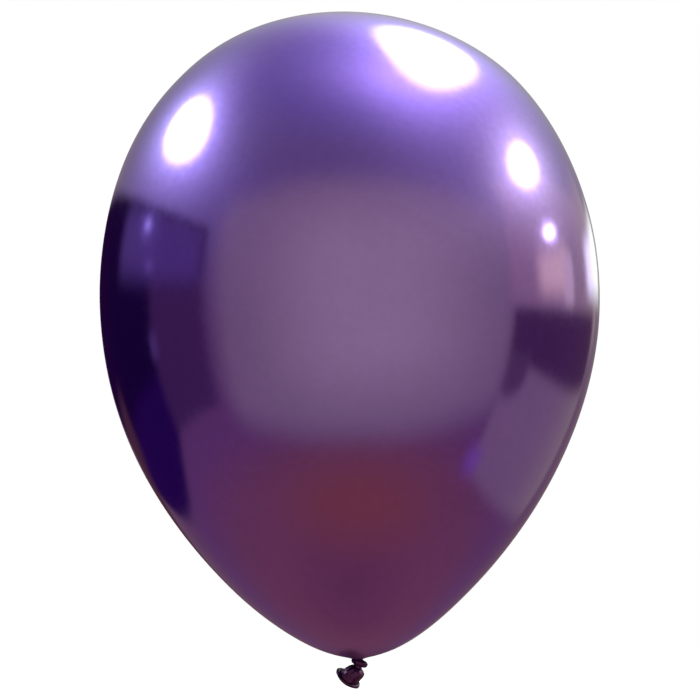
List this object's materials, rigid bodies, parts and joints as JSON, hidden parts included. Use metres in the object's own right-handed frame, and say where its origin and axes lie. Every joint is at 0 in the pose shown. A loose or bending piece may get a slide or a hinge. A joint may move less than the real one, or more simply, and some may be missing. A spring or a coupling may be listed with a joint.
{
  "type": "latex balloon",
  "caption": "Inflated egg-shaped latex party balloon, tied at the neck, with an overhand knot and a bell-shaped tail ending in a rolled lip.",
  "frame": {"origin": "the point on the balloon's axis where the inflated skin is gathered into the knot", "axes": "+Z from the knot up through the crown, along the balloon's longest side; the tail leans towards -X and +Y"},
  "size_m": [0.3, 0.3, 0.4063],
  "materials": {
    "metallic_latex": "mirror-like metallic violet, stretched thin and slightly cloudy",
    "dense_latex": "unstretched metallic latex, dark plum with a satin gloss"
  },
  "bodies": {
    "inflated_body": {"balloon_skin": "metallic_latex"},
    "neck": {"neck_throat": "metallic_latex"},
    "knot": {"knot_strand": "dense_latex", "knot_loop": "dense_latex"},
    "tail_root": {"tail_stem": "dense_latex"},
    "tail": {"tail_skirt": "dense_latex", "rolled_rim": "dense_latex"}
  },
  "joints": [
    {"name": "neck_sway_side", "type": "hinge", "parent": "inflated_body", "child": "neck", "pos_m": [0, 0, 0.0004], "axis": [0, 1, 0], "range_deg": [-10, 10], "stiffness_Nm_per_rad": 0.004},
    {"name": "neck_sway_front", "type": "hinge", "parent": "neck", "child": "knot", "pos_m": [0, 0, 0.0004], "axis": [1, 0, 0], "range_deg": [-10, 10], "stiffness_Nm_per_rad": 0.004},
    {"name": "tail_sway_side", "type": "hinge", "parent": "knot", "child": "tail_root", "pos_m": [-0.0008, 0, -0.0058], "axis": [0, 1, 0], "range_deg": [-60, 20], "stiffness_Nm_per_rad": 0.002},
    {"name": "tail_sway_front", "type": "hinge", "parent": "tail_root", "child": "tail", "pos_m": [-0.0008, 0, -0.0058], "axis": [1, 0, 0], "range_deg": [-45, 12], "stiffness_Nm_per_rad": 0.002}
  ]
}
